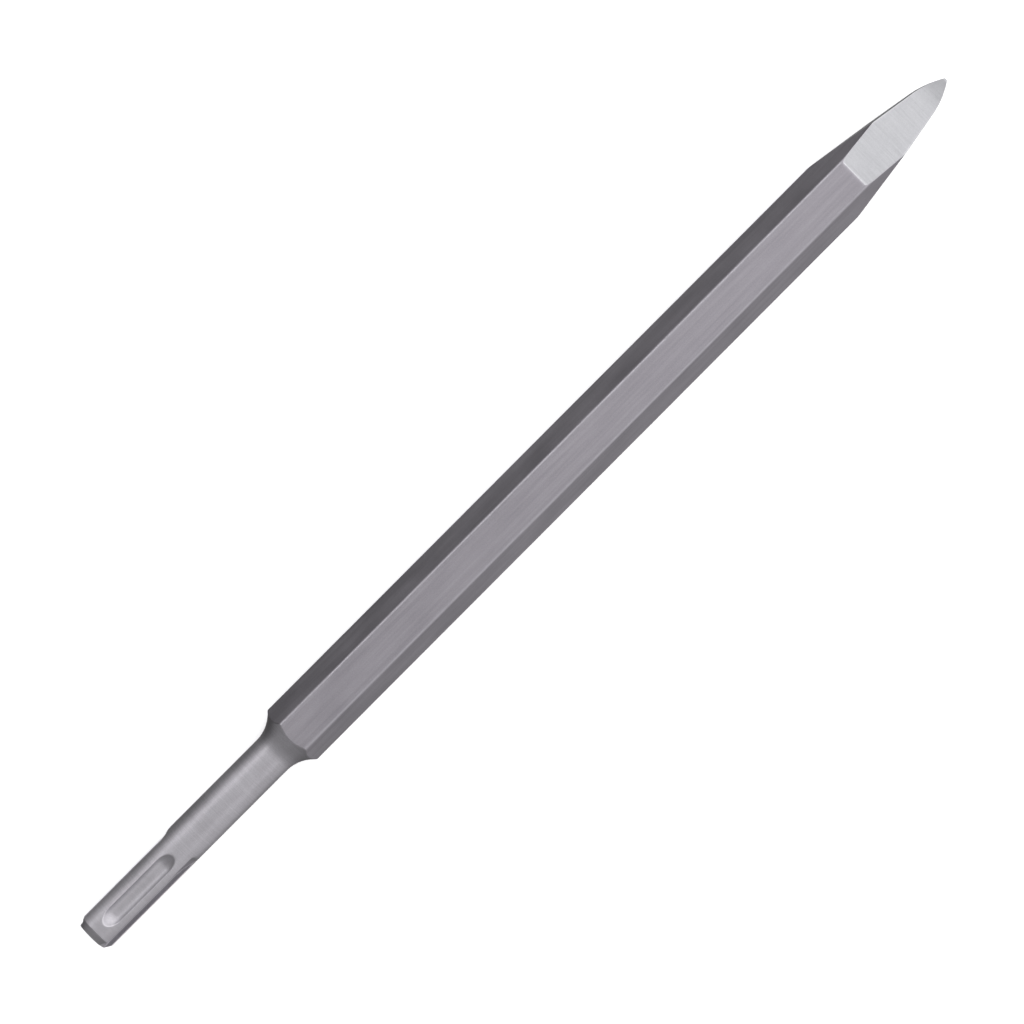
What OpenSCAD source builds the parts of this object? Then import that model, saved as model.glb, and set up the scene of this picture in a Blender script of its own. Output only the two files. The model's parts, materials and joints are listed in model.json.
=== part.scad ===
// Pointed chisel for an electric jackhammer: one forged and ground steel bar.
// The tool axis is X, with the struck end at the origin and the point towards +X.
// One flat of the hexagonal bar faces up (+Z) and the opposite one rests on the floor.

/* [Overall] */
// Length from the struck end to the tip
length = 508; // [440:1:700]

/* [Shank] */
// Diameter of the round shank
shank_d = 18; // [17:0.5:20]
// Plain shank from the struck end to the start of the flare
shank_l = 107; // [95:1:130]
// Length of the chamfer round the struck end
chamfer_l = 3.2; // [1:0.1:5]
// Depth of the same chamfer, measured from the shank surface
chamfer_depth = 1.9; // [0.5:0.1:3]

/* [Locking grooves] */
// Radius of the rounded section of the two closed grooves
lock_r = 4.6; // [3:0.1:4.8]
// Depth of the closed grooves
lock_depth = 2.5; // [1.5:0.1:3]
// Distance from the struck end to the closed grooves
lock_start = 8; // [6:0.5:14]
// Length of the closed grooves, with both run-outs
lock_l = 40.5; // [30:0.5:46]
// Radius of the run-outs at both ends of the closed grooves
lock_runout_r = 10; // [9.8:0.1:14]

/* [Drive grooves] */
// Depth of the three open grooves
drive_depth = 2.5; // [1.5:0.1:3]
// Width of the single open groove
drive_w = 8.5; // [5:0.1:9]
// Width of each of the paired open grooves
paired_w = 4.8; // [3:0.1:5]
// Angle of each paired groove from the side opposite the single one
paired_angle = 30; // [26:1:33]
// Distance from the struck end to the end of the open grooves
drive_end = 54.5; // [50:0.5:70]
// Radius of the disc-shaped run-out of the open grooves
drive_runout_r = 36; // [10:1:60]

/* [Bar] */
// Width of the hexagonal bar across two flats
bar_af = 26; // [24:0.5:30]
// Radius of the six long edges of the bar
bar_edge_r = 2; // [0.5:0.1:3]
// Radius of the hollow flare between the shank and the bar
flare_r = 16; // [10:0.1:20]

/* [Point] */
// Slope of the four ground facets, from the tool axis
facet_angle = 9.3; // [7:0.1:12]
// Half width of the point where the rounded nose starts
nose_half = 6.2; // [5:0.1:8]
// Length of the rounded nose
nose_l = 15.1; // [12:0.1:20]
// Half width of the small blunt end
blunt = 0.6; // [0.3:0.1:1]

/* [Hidden] */
$fn = 96;
shank_r = shank_d / 2;
edge_centre = (bar_af / 2 - bar_edge_r) / cos(30);
nose_x = length - nose_l;
// The nose arc is tangent to the facet at nose_x and ends at the blunt tip.
nose_drop = nose_half - blunt;
nose_r = (nose_l^2 + nose_drop^2) / (2 * (nose_drop * cos(facet_angle) - nose_l * sin(facet_angle)));
nose_centre = [nose_x - nose_r * sin(facet_angle), nose_half - nose_r * cos(facet_angle)];
// The facets start this far back, well inside the full bar.
facet_back = 70;
facet_back_half = nose_half + facet_back * tan(facet_angle);
// Half size of blocks that reach past the bar on every side.
beyond = 60;
// The bar's edge arcs are this much larger than tangent ones, so that they cross the flats cleanly.
edge_over = 0.004;

module along_x(start, long) {
    translate([start, 0, 0]) rotate([90, 0, 90]) linear_extrude(long) children();
}

module ring_x(x, major_r, section_r) {
    translate([x, 0, 0]) rotate([0, 90, 0])
        rotate_extrude() translate([major_r, 0]) circle(section_r);
}

// Hexagon with rounded edges and a flat on top, as the section across the bar.
module bar_section() {
    polygon([for (k = [0:5], side = [-30, 30])
        edge_centre * [cos(60 * k), sin(60 * k)]
        + bar_edge_r * [cos(60 * k + side), sin(60 * k + side)]]);
    for (k = [0:5])
        rotate(60 * k) translate([edge_centre, 0]) circle(bar_edge_r + edge_over);
}

module round_shank() {
    translate([chamfer_l, 0, 0]) rotate([0, 90, 0])
        cylinder(r = shank_r, h = shank_l + 1 - chamfer_l);
    rotate([0, 90, 0])
        cylinder(r1 = shank_r - chamfer_depth, r2 = shank_r, h = chamfer_l);
}

// Side view of all that lies below the upper facet and its nose arc.
module below_upper_facet() {
    polygon([[0, -beyond], [0, facet_back_half], [nose_x - facet_back, facet_back_half],
             [nose_x, nose_half], [nose_x, -beyond]]);
    intersection() {
        translate([nose_x - 1, -beyond]) square([nose_l + 1, 2 * beyond]);
        translate(nose_centre) circle(nose_r);
    }
    translate([nose_x - 1, -beyond]) square([nose_l + 1, beyond]);
}

// Side view of the point, with a facet and a nose arc above and below.
module point_section() {
    intersection() {
        below_upper_facet();
        mirror([0, 1]) below_upper_facet();
    }
}

module bar_with_point() {
    difference() {
        intersection() {
            along_x(shank_l, length - shank_l) bar_section();
            rotate([90, 0, 0]) linear_extrude(2 * beyond, center = true) point_section();
            linear_extrude(2 * beyond, center = true) point_section();
        }
        ring_x(shank_l, shank_r + flare_r, flare_r);
    }
}

// Closed groove on the +Z side, with a rounded section and a rounded run-out at each end.
module lock_groove() {
    swing_r = lock_runout_r - lock_r;
    centre_z = shank_r - lock_depth + lock_r;
    runout = sqrt(lock_runout_r^2 - (lock_runout_r - lock_depth)^2);
    low = lock_start + runout;
    high = lock_start + lock_l - runout;
    translate([low, 0, centre_z]) rotate([0, 90, 0])
        cylinder(r = lock_r, h = high - low);
    for (runout_at = [[low, 180], [high, 270]])
        translate([runout_at[0], 0, centre_z + swing_r]) rotate([90, 0, 0]) rotate([0, 0, runout_at[1]])
            rotate_extrude(angle = 90) translate([swing_r, 0]) circle(lock_r);
}

// Open groove on the +Z side, cut to its end by a disc.
module drive_groove(wide) {
    floor_z = shank_r - drive_depth;
    runout = sqrt(drive_runout_r^2 - (drive_runout_r - drive_depth)^2);
    disc_x = drive_end - runout;
    translate([-1, -wide / 2, floor_z]) cube([disc_x + 1, wide, 2 * drive_depth]);
    translate([disc_x, 0, floor_z + drive_runout_r]) rotate([90, 0, 0])
        cylinder(r = drive_runout_r, h = wide, center = true);
}

module pointed_chisel() {
    color("slategray") difference() {
        union() {
            round_shank();
            bar_with_point();
        }
        for (side = [0, 180]) rotate([side, 0, 0]) lock_groove();
        rotate([-90, 0, 0]) drive_groove(drive_w);
        for (side = [-1, 1])
            rotate([90 + side * paired_angle, 0, 0]) drive_groove(paired_w);
    }
}

pointed_chisel();
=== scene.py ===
"""The looks of a pointed chisel for an electric jackhammer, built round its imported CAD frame.

The chisel is one steel bar, so it is one piece: a grid of rings along the tool axis, +X from the
struck end to the tip. The rings follow the real edges (the flare's scallops, the borders of the
ground facets), and each zone of rings has its own material: turned, rolled or ground steel.
Lengths in the shape code are millimetres, and the finished mesh is scaled to metres.
"""

import json
import math
from functools import partial

import bpy
import numpy as np
from mathutils import Matrix, Vector, noise


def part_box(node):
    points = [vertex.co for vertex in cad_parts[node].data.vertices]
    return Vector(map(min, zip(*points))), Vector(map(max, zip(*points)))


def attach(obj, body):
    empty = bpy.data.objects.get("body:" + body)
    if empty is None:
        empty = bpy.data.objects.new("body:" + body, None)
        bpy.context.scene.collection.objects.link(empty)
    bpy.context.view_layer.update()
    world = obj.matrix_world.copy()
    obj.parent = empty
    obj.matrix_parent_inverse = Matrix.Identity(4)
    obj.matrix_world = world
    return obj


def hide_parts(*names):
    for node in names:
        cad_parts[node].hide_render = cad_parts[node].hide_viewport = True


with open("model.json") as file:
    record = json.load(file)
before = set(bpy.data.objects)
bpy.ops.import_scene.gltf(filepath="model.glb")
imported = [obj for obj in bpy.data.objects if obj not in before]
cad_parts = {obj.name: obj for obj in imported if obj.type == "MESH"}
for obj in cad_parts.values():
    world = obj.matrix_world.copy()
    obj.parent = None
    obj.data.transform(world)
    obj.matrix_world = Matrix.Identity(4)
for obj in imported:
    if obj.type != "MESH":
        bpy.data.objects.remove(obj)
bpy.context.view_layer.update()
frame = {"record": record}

NODE = "pointed_chisel"
MM = 0.001
low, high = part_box(NODE)
mounts = {m["name"]: m for m in frame["record"]["mounts"]}

# Sizes that the frame gives
LENGTH = (high.x - low.x) / MM
BAR_HALF = -mounts["lower_flat"]["pos_m"][2] / MM
SHANK_R = mounts["shank"]["dims"]["r_mm"]
CHAMFER_L = mounts["shank"]["pos_m"][0] / MM
SHANK_L = CHAMFER_L + mounts["shank"]["dims"]["length_mm"]

# The other driving dimensions of the design
CHAMFER_DEPTH = 1.9
LOCK_R, LOCK_DEPTH, LOCK_START, LOCK_L, LOCK_RUNOUT_R = 4.6, 2.5, 8.0, 40.5, 10.0
DRIVE_DEPTH, DRIVE_W, PAIRED_W, PAIRED_ANGLE = 2.5, 8.5, 4.8, 30.0
DRIVE_END, DRIVE_RUNOUT_R = 54.5, 36.0
BAR_EDGE_R, FLARE_R = 2.0, 16.0
FACET_SLOPE = math.radians(9.3)
NOSE_HALF, NOSE_L, BLUNT = 6.2, 15.1, 0.6

# How far the real edges are rounded by tumbling and wear
END_ROUND = 0.4
GROOVE_FILLET = 0.45
GROOVE_RIM = 0.22
WALL_LEAN = 0.03
SCALLOP_BLEND = 0.35
FACET_BLEND = 0.22
PYRAMID_BLEND = 0.35
TIP_ROUND = 0.55
GROOVE_BLEND, RUNOUT_BLEND = 0.12, 0.25

# How far wear reaches from an edge, in mm or in degrees round the bar
GROOVE_WEAR, CHAMFER_WEAR, SCALLOP_WEAR, FACET_WEAR = 0.22, 0.25, 0.3, 0.45
BAR_WEAR_DEG, PYRAMID_WEAR_DEG = 2.1, 1.2

# Hollows that rolling leaves on the bar: length, width and depth
WAVE_L, WAVE_W, WAVE_DEPTH = 34, 9, 0.045

# Points in a ring, and where rings change from the grooves' places to even angles
RING = 256
NECK_START, NECK_END = 56.0, 104.0
# Rings this far from each border of the flare and of the facets
SCALLOP_OFFSETS = np.array([-1.1, -0.7, -0.45, -0.3, -0.18, -0.08, 0, 0.08, 0.18, 0.3, 0.5, 0.9])
FACET_OFFSETS = np.array([-1.2, -0.6, -0.3, -0.12, 0, 0.12, 0.3, 0.6, 1.2])
# A height that is above every surface
NO_CUT = 1e3


def soft_min(a, b, blend):
    """The smaller of two heights, with the corner between them rounded."""
    overlap = np.clip(blend - np.abs(a - b), 0, None)
    return np.minimum(a, b) - overlap**2 / (4 * blend)


def near(distance, reach):
    """1 at no distance, falling smoothly to nearly 0 at twice the reach."""
    return np.exp(-((distance / reach) ** 2))


def spaced(start, end, step):
    """Evenly spaced stations from start up to but not including end, about a step apart."""
    count = max(1, round((end - start) / step))
    return np.linspace(start, end, count, endpoint=False)


def smooth_step(t):
    """Goes from 0 to 1 with level ends as t does."""
    t = np.clip(t, 0, 1)
    return t * t * (3 - 2 * t)


# ---------------------------------------------------------------- shank and its grooves


def drive_lines(wide):
    """Places across half an open groove: floor, fillet, wall and rim."""
    half = wide / 2
    turn = np.linspace(0, math.pi / 2, 5)[1:]
    floor = np.linspace(0, half - GROOVE_FILLET, 9)
    fillet = half - GROOVE_FILLET + GROOVE_FILLET * np.sin(turn)
    wall = half + WALL_LEAN * np.linspace(0.25, 1, 4)
    rim = half + WALL_LEAN + GROOVE_RIM * (1 - np.cos(turn))
    return np.concatenate([floor, fillet, wall, rim])


def lock_lines():
    """Places across half a closed groove, closest together at its steep rim."""
    pivot = SHANK_R - LOCK_DEPTH + LOCK_R
    rim_height = (SHANK_R**2 - LOCK_R**2 + pivot**2) / (2 * pivot)
    mouth = math.sqrt(SHANK_R**2 - rim_height**2)
    hollow = np.linspace(0, mouth - 0.5, 12)
    rim = mouth + np.linspace(-0.4, 0.3, 8)
    return np.concatenate([hollow, rim])


def runout_length(radius, depth):
    """Length over which a disc of this radius leaves a cut of this depth."""
    return math.sqrt(radius**2 - (radius - depth) ** 2)


def shank_surface(y, radius):
    """Height of the round shank above the tool axis."""
    return np.sqrt(np.clip(radius**2 - y**2, 0, None))


def drive_cut(wide, x, y, radius, blend):
    """Height of the shank's surface above the tool axis across an open groove, and its wear."""
    half = wide / 2
    runout_start = DRIVE_END - runout_length(DRIVE_RUNOUT_R, DRIVE_DEPTH)
    past = np.clip(x - runout_start, 0, DRIVE_RUNOUT_R)
    floor = SHANK_R - DRIVE_DEPTH + DRIVE_RUNOUT_R - math.sqrt(DRIVE_RUNOUT_R**2 - past**2)
    a = np.abs(y)
    surface = shank_surface(y, radius)
    top = math.sqrt(radius**2 - half**2)
    foot = soft_min(floor, top, blend)
    # The roundings shrink with the wall where the groove runs out
    rounding = min(1, (top - foot) / (2 * GROOVE_FILLET))
    into_fillet = np.clip(a - half + GROOVE_FILLET, 0, GROOVE_FILLET)
    rise = rounding * (GROOVE_FILLET - np.sqrt(GROOVE_FILLET**2 - into_fillet**2))
    inside = soft_min(floor, surface, blend) + rise
    from_edge = np.clip(half + WALL_LEAN + GROOVE_RIM - a, 0, GROOVE_RIM)
    rim = surface - rounding * (GROOVE_RIM - np.sqrt(GROOVE_RIM**2 - from_edge**2))
    up_wall = np.clip((a - half) / WALL_LEAN, 0, 1)
    wall = (foot + rounding * GROOVE_FILLET) * (1 - up_wall) + rim * up_wall
    height = np.where(a <= half, inside, wall)
    rim_worn = near(surface - wall, GROOVE_WEAR) * rounding
    end_worn = near(surface - floor, GROOVE_WEAR)
    return height, np.where(a <= half, end_worn, rim_worn)


def lock_cut(x, y, radius, blend):
    """Height of the shank's surface above the tool axis across a closed groove, and its wear."""
    swing = LOCK_RUNOUT_R - LOCK_R
    runout = runout_length(LOCK_RUNOUT_R, LOCK_DEPTH)
    first, last = LOCK_START + runout, LOCK_START + LOCK_L - runout
    past = max(first - x, 0, x - last)
    section = np.sqrt(np.clip(LOCK_R**2 - y**2, 0, None))
    reach = (swing + section) ** 2 - past**2
    pivot = SHANK_R - LOCK_DEPTH + LOCK_RUNOUT_R
    cut = pivot - np.sqrt(np.clip(reach, 0, None))
    cut = np.where((np.abs(y) >= LOCK_R) | (reach <= 0), NO_CUT, cut)
    surface = shank_surface(y, radius)
    return soft_min(surface, cut, blend), near(surface - cut, GROOVE_WEAR)


# (middle angle from +Y towards +Z, places across half of it, cut), in order round the shank
GROOVES = [
    (0.0, drive_lines(DRIVE_W), partial(drive_cut, DRIVE_W)),
    (90.0, lock_lines(), lock_cut),
    (180.0 - PAIRED_ANGLE, drive_lines(PAIRED_W), partial(drive_cut, PAIRED_W)),
    (180.0 + PAIRED_ANGLE, drive_lines(PAIRED_W), partial(drive_cut, PAIRED_W)),
    (270.0, lock_lines(), lock_cut),
]
# Each groove's next one, going round once
NEXT_GROOVES = GROOVES[1:] + [(360.0, *GROOVES[0][1:])]


def land_counts():
    """How many places each land between two grooves gets, so that a ring has RING of them."""
    used = sum(2 * len(lines) - 1 for _, lines, _ in GROOVES)
    spans = []
    for (at, lines, _), (then, more, _) in zip(GROOVES, NEXT_GROOVES):
        edges = math.asin(lines[-1] / SHANK_R) + math.asin(more[-1] / SHANK_R)
        spans.append(math.radians(then - at) - edges)
    counts = [int((RING - used) * span / sum(spans)) for span in spans]
    counts[0] += RING - used - sum(counts)
    return counts


LANDS = land_counts()


def groove_blend(x):
    """How widely the grooves' corners are rounded, with more where the open ones run out."""
    change_start = LOCK_START + LOCK_L - 8
    change_length = 6
    turn = float(smooth_step((x - change_start) / change_length))
    return GROOVE_BLEND + (RUNOUT_BLEND - GROOVE_BLEND) * turn


def shank_ring(x, radius):
    """One ring of the shank: (y, z, wear), from the middle of the groove on the +Y side."""
    ys, zs, wear = [], [], []
    for (at, lines, cut), (then, more, _), land_count in zip(GROOVES, NEXT_GROOVES, LANDS):
        across = np.concatenate([-lines[:0:-1], lines])
        height, worn = cut(x, across, radius, groove_blend(x))
        a = math.radians(at)
        ys.append(height * math.cos(a) - across * math.sin(a))
        zs.append(height * math.sin(a) + across * math.cos(a))
        wear.append(worn)
        start = a + math.asin(lines[-1] / radius)
        end = math.radians(then) - math.asin(more[-1] / radius)
        land = np.linspace(start, end, land_count + 2)[1:-1]
        ys.append(radius * np.cos(land))
        zs.append(radius * np.sin(land))
        wear.append(np.zeros(len(land)))
    middle = len(GROOVES[0][1]) - 1
    return tuple(np.roll(np.concatenate(part), -middle) for part in (ys, zs, wear))


# ---------------------------------------------------------------- bar, flare and point


def bar_angles():
    """RING angles round the bar, close together at its edges and at those of the point."""
    eighth = 4500
    fine = np.linspace(0, 360, 8 * eighth + 1)
    density = np.full(len(fine), 1.0)
    for corner in range(0, 361, 60):
        density += 7 * near(fine - corner, 3.2)
    for corner in range(45, 361, 90):
        density += 9 * near(fine - corner, 1.1)
    total = np.concatenate([[0], np.cumsum((density[1:] + density[:-1]) / 2)])
    angles = []
    for k in range(8):
        start, end = total[k * eighth], total[(k + 1) * eighth]
        wanted = np.linspace(start, end, RING // 8, endpoint=False)
        angles.append(np.interp(wanted, total, fine))
    return np.radians(np.concatenate(angles))


ANGLES = bar_angles()


def bar_radius(angle):
    """Distance from the tool axis to the hexagon with rounded edges."""
    sixth = math.radians(60)
    from_edge = (angle + sixth / 2) % sixth - sixth / 2
    from_flat = sixth / 2 - np.abs(from_edge)
    centre = (BAR_HALF - BAR_EDGE_R) / math.cos(sixth / 2)
    touch = sixth / 2 - math.atan((BAR_HALF - BAR_EDGE_R) * math.tan(sixth / 2) / BAR_HALF)
    inside = np.clip(BAR_EDGE_R**2 - (centre * np.sin(from_edge)) ** 2, 0, None)
    rounded = centre * np.cos(from_edge) + np.sqrt(inside)
    return np.where(np.abs(from_edge) < touch, rounded, BAR_HALF / np.cos(from_flat))


BAR_R = bar_radius(ANGLES)
BAR_EDGE_WEAR = near((np.degrees(ANGLES) + 30) % 60 - 30, BAR_WEAR_DEG)
PYRAMID_WEAR = near(np.degrees(ANGLES) % 90 - 45, PYRAMID_WEAR_DEG)
# Where the flare meets the bar at each angle
SCALLOP_X = SHANK_L + np.sqrt(FLARE_R**2 - (SHANK_R + FLARE_R - BAR_R) ** 2)


def flare_radius(x):
    """Distance from the tool axis to the hollow flare."""
    past = np.clip(x - SHANK_L, 0, FLARE_R)
    return SHANK_R + FLARE_R - np.sqrt(FLARE_R**2 - past**2)


NOSE_X = LENGTH - NOSE_L
NOSE_DROP = NOSE_HALF - BLUNT
NOSE_R = (NOSE_L**2 + NOSE_DROP**2) / (
    2 * (NOSE_DROP * math.cos(FACET_SLOPE) - NOSE_L * math.sin(FACET_SLOPE))
)
SQUARENESS = np.maximum(np.abs(np.cos(ANGLES)), np.abs(np.sin(ANGLES)))
# Where each angle's ground facet starts
FACET_X = NOSE_X - (BAR_R * SQUARENESS - NOSE_HALF) / math.tan(FACET_SLOPE)


def half_width(x):
    """Distance from the tool axis to the ground facets and the nose arc."""
    straight = NOSE_HALF + (NOSE_X - x) * math.tan(FACET_SLOPE)
    from_centre = x - NOSE_X + NOSE_R * math.sin(FACET_SLOPE)
    inside = np.clip(NOSE_R**2 - from_centre**2, 0, None)
    arc = NOSE_HALF - NOSE_R * math.cos(FACET_SLOPE) + np.sqrt(inside)
    return np.where(x < NOSE_X, straight, arc)


def facet_radius(half):
    """Distance from the tool axis to a square section with slightly rounded corners."""
    beside = half / np.clip(np.abs(np.cos(ANGLES)), 1e-3, None)
    above = half / np.clip(np.abs(np.sin(ANGLES)), 1e-3, None)
    return soft_min(beside, above, np.minimum(PYRAMID_BLEND, half))


def waviness(x, radius):
    """Shallow hollows left by rolling, never proud of the true size."""
    depth = np.empty(RING)
    for k in range(RING):
        across = radius[k] * ANGLES[k]
        depth[k] = 0.5 + 0.5 * noise.noise(Vector((x[k] / WAVE_L, across / WAVE_W, 3.1)))
    return WAVE_DEPTH * depth


# ---------------------------------------------------------------- the rings, in order


class Rings:
    """Rings of points along the tool, with the wear and the material zone of each."""

    def __init__(self):
        self.points, self.wear, self.zone = [], [], []

    def add(self, x, y, z, wear, zone):
        """Adds one ring. The faces from it to the next ring belong to its zone."""
        x = np.broadcast_to(x, (RING,))
        self.points.append(np.stack([x, y, z], axis=1))
        self.wear.append(np.broadcast_to(wear, (RING,)))
        self.zone.append(zone)

    def add_polar(self, x, radius, wear, zone, angles=ANGLES):
        """Adds one ring that is given by its distance from the tool axis at each angle."""
        self.add(x, radius * np.cos(angles), radius * np.sin(angles), wear, zone)


# Material zones, in the order of the mesh's materials
TURNED, ROLLED, GROUND = 0, 1, 2


def rounded_corner(x, radius, start, end):
    """(x, radius) pairs round a corner, where the outline's normal turns from start to end."""
    tangent = END_ROUND * math.tan(abs(start - end) / 2)
    centre_x = x - tangent * math.cos(start) + END_ROUND * math.sin(start)
    centre_r = radius - tangent * math.sin(start) - END_ROUND * math.cos(start)
    return [
        (centre_x - END_ROUND * math.sin(a), centre_r + END_ROUND * math.cos(a))
        for a in np.linspace(start, end, 6)
    ]


def end_profile():
    """(x, radius) pairs from the flat struck end over its chamfer to the full shank."""
    slope = math.atan2(CHAMFER_DEPTH, CHAMFER_L)
    inner_r = SHANK_R - CHAMFER_DEPTH
    chamfer = [(CHAMFER_L * t, inner_r + CHAMFER_DEPTH * t) for t in (0.25, 0.4, 0.6, 0.8)]
    inner = rounded_corner(0.0, inner_r, math.pi / 2, slope)
    outer = rounded_corner(CHAMFER_L, SHANK_R, slope, 0.0)
    return inner + chamfer + outer


def add_struck_end(rings):
    """The flat end face from its middle outwards, and the rounded chamfer."""
    profile = end_profile()
    y, z, _ = shank_ring(*profile[0])
    for scale in (0.03, 0.35, 0.7, 0.9, 0.97):
        rings.add(0, y * scale, z * scale, 0, TURNED)
    for x, radius in profile:
        y, z, wear = shank_ring(x, radius)
        corner_wear = near(min(x, abs(x - CHAMFER_L)), CHAMFER_WEAR)
        rings.add(x, y, z, np.maximum(wear, corner_wear), TURNED)


def add_grooved_shank(rings):
    """Shank with its grooves. The rings are closest together where the grooves run out."""
    runout = 6.5
    before, after = 0.6, 0.4
    lock_end = LOCK_START + LOCK_L
    stations = np.concatenate(
        [
            spaced(CHAMFER_L + after, LOCK_START - before, 0.9),
            spaced(LOCK_START - before, LOCK_START + runout, 0.24),
            spaced(LOCK_START + runout, lock_end - runout, 1.8),
            spaced(lock_end - runout, lock_end + after, 0.24),
            spaced(lock_end + after, DRIVE_END + 0.3, 0.22),
            [NECK_START],
        ]
    )
    for x in stations:
        rings.add(x, *shank_ring(x, SHANK_R), TURNED)


def add_neck(rings):
    """Plain shank, along which the points turn from the grooves' places to even angles."""
    round_radius = np.full(RING, SHANK_R)
    y, z, _ = shank_ring(NECK_START, SHANK_R)
    start_angles = np.unwrap(np.arctan2(z, y))
    for x in spaced(NECK_START + 1.5, NECK_END, 2.4):
        turn = smooth_step((x - NECK_START) / (NECK_END - NECK_START))
        angles = start_angles * (1 - turn) + ANGLES * turn
        rings.add_polar(x, round_radius, 0, TURNED, angles)
    for x in spaced(NECK_END, SHANK_L, 0.7):
        rings.add_polar(x, round_radius, 0, TURNED)


def add_flare(rings):
    """Hollow flare, and its scalloped border with the bar."""
    for t in spaced(0, 1, 0.05):
        x = SHANK_L + (SCALLOP_X + SCALLOP_OFFSETS[0] - SHANK_L) * t
        rings.add_polar(x, soft_min(flare_radius(x), BAR_R, SCALLOP_BLEND), 0, TURNED)
    for offset in SCALLOP_OFFSETS:
        x = SCALLOP_X + offset
        radius = soft_min(flare_radius(x), BAR_R, SCALLOP_BLEND)
        wear = np.full(RING, near(offset, SCALLOP_WEAR))
        if offset > 0:
            wear = np.maximum(wear, BAR_EDGE_WEAR)
        rings.add_polar(x, radius, wear, TURNED if offset < 0 else ROLLED)


def add_bar(rings):
    """Hexagonal bar between the flare and the point, with the hollows fading out at both ends."""
    bar_start, bar_end = SCALLOP_X.max() + 1.5, FACET_X.min() - 3
    fade = 12
    for t in (0.33, 0.67):
        x = (SCALLOP_X + SCALLOP_OFFSETS[-1]) * (1 - t) + bar_start * t
        rings.add_polar(x, BAR_R, BAR_EDGE_WEAR, ROLLED)
    for x in spaced(bar_start, bar_end, 4.4):
        x = np.full(RING, x)
        ease = smooth_step((x - bar_start) / fade) * smooth_step((bar_end - x) / fade)
        rings.add_polar(x, BAR_R - ease * waviness(x, BAR_R), BAR_EDGE_WEAR, ROLLED)
    for t in spaced(0, 1, 0.09):
        x = bar_end * (1 - t) + (FACET_X + FACET_OFFSETS[0]) * t
        rings.add_polar(x, BAR_R, BAR_EDGE_WEAR, ROLLED)


def add_facets(rings):
    """Borders of the four ground facets, and the facets as far as the nose."""
    for offset in FACET_OFFSETS:
        x = FACET_X + offset
        radius = soft_min(facet_radius(half_width(x)), BAR_R, FACET_BLEND)
        along = BAR_EDGE_WEAR if offset < 0 else PYRAMID_WEAR
        wear = np.maximum(near(offset, FACET_WEAR), along)
        rings.add_polar(x, radius, wear, ROLLED if offset < 0 else GROUND)
    for t in spaced(0.04, 1, 0.04):
        x = (FACET_X + FACET_OFFSETS[-1]) * (1 - t) + NOSE_X * t
        rings.add_polar(x, facet_radius(half_width(x)), PYRAMID_WEAR, GROUND)


def add_nose(rings):
    """Rounded nose, closed by the small blunt end."""
    for x in spaced(NOSE_X, LENGTH - TIP_ROUND, 0.55):
        rings.add_polar(x, facet_radius(half_width(np.full(RING, x))), PYRAMID_WEAR, GROUND)
    blunt_half = half_width(np.array([LENGTH - TIP_ROUND]))[0]
    for a in np.linspace(0, math.pi / 2, 7)[:-1]:
        x = LENGTH - TIP_ROUND * (1 - math.sin(a))
        half = blunt_half * math.cos(a)
        rings.add_polar(x, facet_radius(np.full(RING, half)).clip(0.02), 1, GROUND)


def ring_faces(zone):
    """Faces between the rings and over both ends, and the material zone of each face."""
    count = len(zone)
    here = np.arange(RING)
    after = (here + 1) % RING
    faces, zones = [], []
    for j in range(count - 1):
        a, b = j * RING, (j + 1) * RING
        faces += np.stack([a + here, a + after, b + after, b + here], axis=1).tolist()
        zones += [zone[j]] * RING
    first_middle, last_middle = count * RING, count * RING + 1
    last = (count - 1) * RING
    faces += np.stack([np.full(RING, first_middle), after, here], axis=1).tolist()
    faces += np.stack([np.full(RING, last_middle), last + here, last + after], axis=1).tolist()
    zones += [TURNED] * RING + [GROUND] * RING
    return faces, zones


def chisel_mesh():
    """The whole chisel as one closed mesh, in metres."""
    rings = Rings()
    for add_part in (
        add_struck_end,
        add_grooved_shank,
        add_neck,
        add_flare,
        add_bar,
        add_facets,
        add_nose,
    ):
        add_part(rings)
    middles = [[0, 0, 0], [LENGTH, 0, 0]]
    middles_wear = [0, 1]
    points = np.concatenate([*rings.points, middles])
    faces, zones = ring_faces(rings.zone)
    mesh = bpy.data.meshes.new("chisel")
    mesh.from_pydata((points * MM).tolist(), [], faces)
    mesh.polygons.foreach_set("material_index", zones)
    mesh.polygons.foreach_set("use_smooth", [True] * len(faces))
    wear = mesh.attributes.new("wear", "FLOAT", "POINT")
    wear.data.foreach_set("value", np.concatenate([*rings.wear, middles_wear]).astype(np.float32))
    mesh.validate()
    mesh.update()
    return mesh


# ---------------------------------------------------------------- materials


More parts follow.
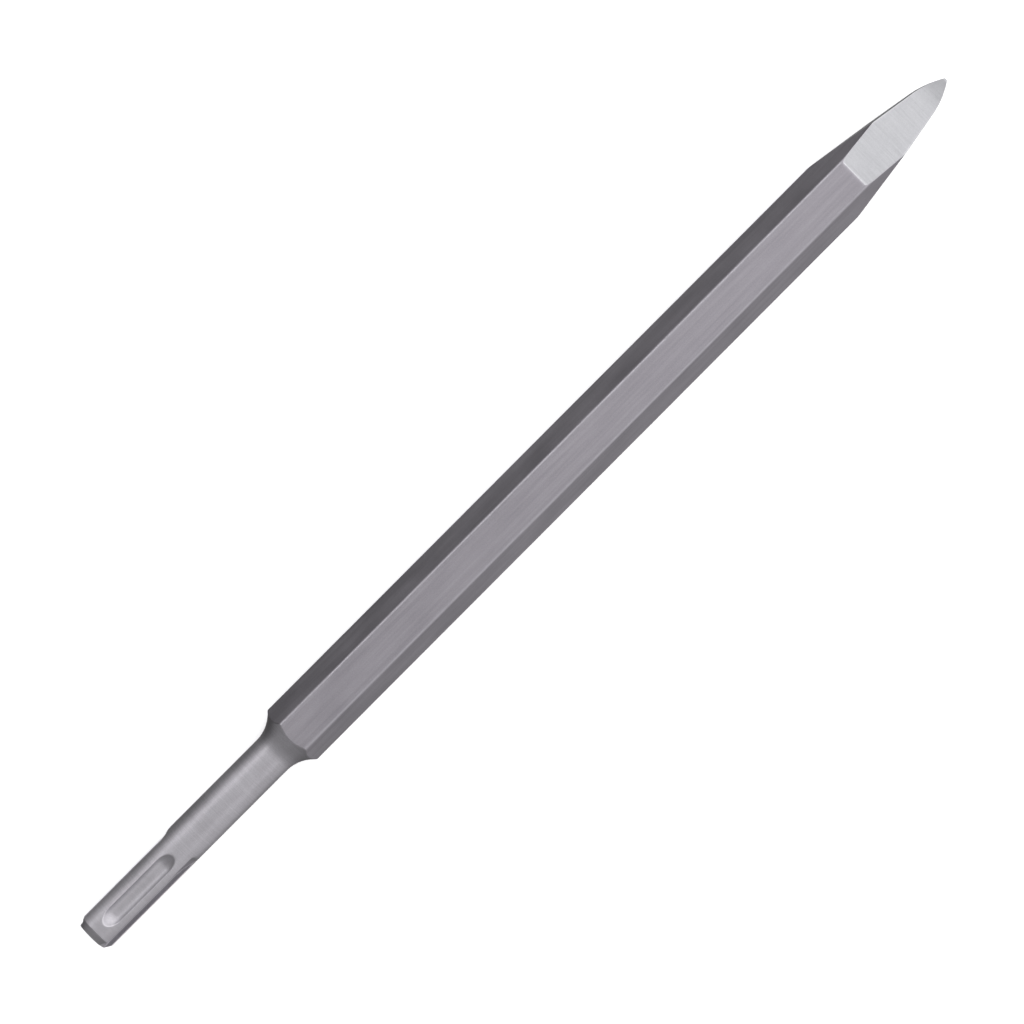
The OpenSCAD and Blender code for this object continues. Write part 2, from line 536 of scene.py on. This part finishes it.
class Nodes:
    """Short calls for making a material's nodes."""

    def __init__(self, name):
        self.material = bpy.data.materials.new(name)
        self.material.use_nodes = True
        self.tree = self.material.node_tree
        self.shader = self.tree.nodes["Principled BSDF"]
        self.place = self.tree.nodes.new("ShaderNodeTexCoord").outputs["Object"]

    def link(self, output, socket):
        """Links an output to a socket."""
        self.tree.links.new(output, socket)

    def vector_math(self, kind, a, b=None):
        """A vector math node, whose second input is a tuple, an output or left alone."""
        node = self.tree.nodes.new("ShaderNodeVectorMath")
        node.operation = kind
        self.link(a, node.inputs[0])
        if isinstance(b, tuple):
            node.inputs[1].default_value = b
        elif b:
            self.link(b, node.inputs[1])
        return node

    def lathe_place(self):
        """Object coordinates, with the distance from the tool axis added to x, for ring marks."""
        across = self.vector_math("MULTIPLY", self.place, (0, 1, 1)).outputs["Vector"]
        radius = self.vector_math("LENGTH", across).outputs["Value"]
        along = self.tree.nodes.new("ShaderNodeCombineXYZ")
        self.link(radius, along.inputs["X"])
        return self.vector_math("ADD", self.place, along.outputs["Vector"]).outputs["Vector"]

    def noise(self, size_mm, detail=3.0, rough=0.5, place=None):
        """Noise whose features are about size_mm = (along x, y, z)."""
        scale = self.tree.nodes.new("ShaderNodeMapping")
        scale.inputs["Scale"].default_value = [1 / (s * MM) for s in size_mm]
        self.link(place or self.place, scale.inputs["Vector"])
        pattern = self.tree.nodes.new("ShaderNodeTexNoise")
        pattern.inputs["Scale"].default_value = 1.0
        pattern.inputs["Detail"].default_value = detail
        pattern.inputs["Roughness"].default_value = rough
        self.link(scale.outputs["Vector"], pattern.inputs["Vector"])
        return pattern.outputs["Fac"]

    def ranged(self, value, low, high, start=0.3, end=0.7):
        """Goes from low to high as a value goes from start to end."""
        node = self.tree.nodes.new("ShaderNodeMapRange")
        node.inputs["From Min"].default_value = start
        node.inputs["From Max"].default_value = end
        node.inputs["To Min"].default_value = low
        node.inputs["To Max"].default_value = high
        self.link(value, node.inputs["Value"])
        return node.outputs["Result"]

    def math(self, kind, a, b):
        """A math node on numbers or outputs."""
        node = self.tree.nodes.new("ShaderNodeMath")
        node.operation = kind
        for value, socket in ((a, node.inputs[0]), (b, node.inputs[1])):
            if isinstance(value, (int, float)):
                socket.default_value = value
            else:
                self.link(value, socket)
        return node.outputs[0]

    def mixed(self, factor, a, b):
        """Goes from colour a to colour b as the factor goes from 0 to 1."""
        colour_a, colour_b, colour_result = 6, 7, 2
        node = self.tree.nodes.new("ShaderNodeMix")
        node.data_type = "RGBA"
        self.link(factor, node.inputs["Factor"])
        for value, socket in ((a, node.inputs[colour_a]), (b, node.inputs[colour_b])):
            if isinstance(value, tuple):
                socket.default_value = (*value, 1)
            else:
                self.link(value, socket)
        return node.outputs[colour_result]

    def scaled(self, colour, value):
        """A colour times a number for brightness."""
        node = self.vector_math("SCALE", colour)
        self.link(value, node.inputs["Scale"])
        return node.outputs[0]

    def attribute(self, name):
        """A number that the mesh carries at its points."""
        node = self.tree.nodes.new("ShaderNodeAttribute")
        node.attribute_name = name
        return node.outputs["Fac"]

    def bumps(self, heights):
        """Bump nodes in a row, each (height, depth in mm)."""
        normal = None
        for height, depth in heights:
            node = self.tree.nodes.new("ShaderNodeBump")
            node.inputs["Distance"].default_value = depth * MM
            node.inputs["Strength"].default_value = 1.0
            self.link(height, node.inputs["Height"])
            if normal:
                self.link(normal, node.inputs["Normal"])
            normal = node.outputs["Normal"]
        self.link(normal, self.shader.inputs["Normal"])


# Feature sizes in mm along x, y, z that all three zones share
MOTTLE_MM, GRAIN_MM, CHIP_MM = (26, 9, 9), (0.45, 0.45, 0.45), (5, 1.2, 1.2)


def steel(name, dark, light, worn, rough, marks, marks_depth, grain_depth, lathe=False):
    """Bare steel: mottled between two greys, with directional marks, fine grain and worn edges.

    rough is (smoothest, roughest, at worn edges). marks is the size in mm of one mark along
    x, y, z, and with lathe the marks run in rings over the end faces too.
    """
    n = Nodes(name)
    smoothest, roughest, at_worn_edges = rough
    mottle = n.noise(MOTTLE_MM, detail=4)
    marked = n.noise(marks, detail=2, rough=0.6, place=n.lathe_place() if lathe else None)
    grain = n.noise(GRAIN_MM, detail=2, rough=0.6)
    colour = n.mixed(n.ranged(mottle, 0, 1), dark, light)
    shade = n.math("MULTIPLY", n.ranged(marked, 0.93, 1.07), n.ranged(grain, 0.92, 1.08))
    colour = n.scaled(colour, shade)
    chipped = n.math("MULTIPLY", n.attribute("wear"), n.ranged(n.noise(CHIP_MM), 0.55, 1.0))
    n.link(n.mixed(chipped, colour, worn), n.shader.inputs["Base Color"])
    surface = n.math("ADD", n.ranged(mottle, smoothest, roughest), n.ranged(grain, -0.03, 0.03))
    worn_off = n.math("MULTIPLY", chipped, roughest - at_worn_edges)
    n.link(n.math("SUBTRACT", surface, worn_off), n.shader.inputs["Roughness"])
    n.shader.inputs["Metallic"].default_value = 1.0
    n.bumps([(marked, marks_depth), (grain, grain_depth)])
    return n.material


def materials():
    """The steels of the three zones, in the zones' order."""
    turned = steel(
        "turned_steel",
        dark=(0.44, 0.425, 0.455),
        light=(0.52, 0.505, 0.54),
        worn=(0.58, 0.565, 0.60),
        rough=(0.40, 0.48, 0.34),
        marks=(0.35, 30, 30),
        marks_depth=0.012,
        grain_depth=0.006,
        lathe=True,
    )
    rolled = steel(
        "rolled_steel",
        dark=(0.310, 0.294, 0.324),
        light=(0.360, 0.342, 0.374),
        worn=(0.42, 0.405, 0.44),
        rough=(0.42, 0.52, 0.40),
        marks=(60, 1.6, 1.6),
        marks_depth=0.010,
        grain_depth=0.020,
    )
    ground = steel(
        "ground_steel",
        dark=(0.338, 0.338, 0.354),
        light=(0.386, 0.386, 0.402),
        worn=(0.52, 0.52, 0.54),
        rough=(0.30, 0.38, 0.26),
        marks=(0.5, 14, 14),
        marks_depth=0.014,
        grain_depth=0.006,
    )
    return turned, rolled, ground


# ---------------------------------------------------------------- camera, floor and light

MIDDLE = Vector(((low.x + high.x) / 2, 0, 0))


def facing(place, right, up, back):
    """Placement of a camera or light that looks along the opposite of back."""
    return Matrix.Translation(place) @ Matrix((right, up, back)).transposed().to_4x4()


def make_camera():
    """Looks down on the chisel, which crosses the frame with its point at the upper right."""
    tilt, turn = math.radians(3.5), math.radians(45.08)
    distance = 2.15
    # The chisel's length, as seen, in widths of the picture
    length_in_widths = 1.1816
    back = Vector((0, math.sin(tilt), math.cos(tilt)))
    along = Vector((1, 0, 0))
    across = back.cross(along)
    right = along * math.cos(turn) - across * math.sin(turn)
    up = along * math.sin(turn) + across * math.cos(turn)
    off_centre = right * 0.0029 + up * 0.0019
    data = bpy.data.cameras.new("camera")
    data.sensor_width = 36
    data.lens = data.sensor_width * distance * length_in_widths / (high.x - low.x)
    data.clip_start, data.clip_end = 0.05, 100
    camera = bpy.data.objects.new("camera", data)
    camera.matrix_world = facing(MIDDLE - off_centre + back * distance, right, up, back)
    bpy.context.collection.objects.link(camera)
    bpy.context.scene.camera = camera


def make_floor():
    """A white floor that glows a little. The steel doesn't mirror it, so its flanks stay dark."""
    data = bpy.data.meshes.new("floor")
    size, z = 12.0, low.z
    corners = [(-size, -size, z), (size, -size, z), (size, size, z), (-size, size, z)]
    data.from_pydata(corners, [], [(0, 1, 2, 3)])
    floor = bpy.data.objects.new("floor", data)
    bpy.context.collection.objects.link(floor)
    material = bpy.data.materials.new("pale_floor")
    material.use_nodes = True
    shader = material.node_tree.nodes["Principled BSDF"]
    shader.inputs["Base Color"].default_value = (0.84, 0.84, 0.845, 1)
    shader.inputs["Roughness"].default_value = 0.9
    shader.inputs["Specular IOR Level"].default_value = 0.1
    shader.inputs["Emission Color"].default_value = (1, 1, 1, 1)
    shader.inputs["Emission Strength"].default_value = 0.35
    data.materials.append(material)
    floor.visible_glossy = False


def add_area(name, offset, size, power):
    """A rectangular light at an offset from the chisel's middle, aimed at it, long side along X."""
    data = bpy.data.lights.new(name, "AREA")
    data.shape = "RECTANGLE"
    data.size, data.size_y = size
    data.energy = power
    light = bpy.data.objects.new(name, data)
    back = Vector(offset).normalized()
    side = Vector((1, 0, 0))
    up = back.cross(side).normalized()
    side = up.cross(back)
    light.matrix_world = facing(MIDDLE + Vector(offset), side, up, back)
    bpy.context.collection.objects.link(light)
    return light


def make_lights():
    """Two strips that draw the long edges, a soft box over the point, a light for the floor."""
    add_area("left_strip", (0.1, 0.92, 0.77), (1.2, 0.24), 1.6)
    add_area("right_strip", (0.1, -0.85, 0.85), (1.2, 0.24), 0.6)
    add_area("point_softbox", (0.6, 0, 1.1), (0.8, 0.8), 1.3)
    table_light = add_area("table_light", (0, 0, 2.6), (3.0, 3.0), 45)
    table_light.visible_glossy = False


def make_world():
    """Soft light from above, strongest from the point's end and weakest from low on the +Y side.

    The shank's end gets a little light of its own. The camera sees an even, nearly white backdrop.
    """
    world = bpy.data.worlds.new("studio")
    bpy.context.scene.world = world
    world.use_nodes = True
    tree = world.node_tree
    place = tree.nodes.new("ShaderNodeTexCoord").outputs["Generated"]

    def toward(direction, cosines, levels, smooth):
        """Brightness that goes from one level to another as the ray turns towards a direction."""
        dot = tree.nodes.new("ShaderNodeVectorMath")
        dot.operation = "DOT_PRODUCT"
        dot.inputs[1].default_value = direction
        tree.links.new(place, dot.inputs[0])
        ramp = tree.nodes.new("ShaderNodeMapRange")
        ramp.interpolation_type = "SMOOTHSTEP" if smooth else "LINEAR"
        for name, value in zip(("From Min", "From Max", "To Min", "To Max"), (*cosines, *levels)):
            ramp.inputs[name].default_value = value
        tree.links.new(dot.outputs["Value"], ramp.inputs["Value"])
        return ramp.outputs["Result"]

    def math_node(kind, a, b):
        """A math node on two outputs, or on an output and a number."""
        node = tree.nodes.new("ShaderNodeMath")
        node.operation = kind
        tree.links.new(a, node.inputs[0])
        if isinstance(b, float):
            node.inputs[1].default_value = b
        else:
            tree.links.new(b, node.inputs[1])
        return node.outputs[0]

    above = toward((0, -0.35, 1), cosines=(-0.7, 0.35), levels=(0.22, 0.82), smooth=True)
    lengthways = toward((1, 0, 0), cosines=(-0.4, 0.4), levels=(0.40, 1.60), smooth=False)
    behind_shank = toward((-1, 0, 0), cosines=(0.55, 0.95), levels=(0.0, 0.36), smooth=True)
    light = math_node("MAXIMUM", math_node("MULTIPLY", above, lengthways), behind_shank)
    seen = tree.nodes.new("ShaderNodeLightPath").outputs["Is Camera Ray"]
    backdrop = math_node("MULTIPLY", seen, 0.93)
    strength = math_node("MAXIMUM", light, backdrop)
    background = tree.nodes["Background"]
    background.inputs["Color"].default_value = (1, 1, 1, 1)
    tree.links.new(strength, background.inputs["Strength"])


make_camera()
make_world()
make_lights()
make_floor()

chisel = bpy.data.objects.new("chisel", chisel_mesh())
bpy.context.collection.objects.link(chisel)
for material in materials():
    chisel.data.materials.append(material)
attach(chisel, "root")
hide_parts(NODE)

bpy.context.scene.view_settings.view_transform = "Standard"
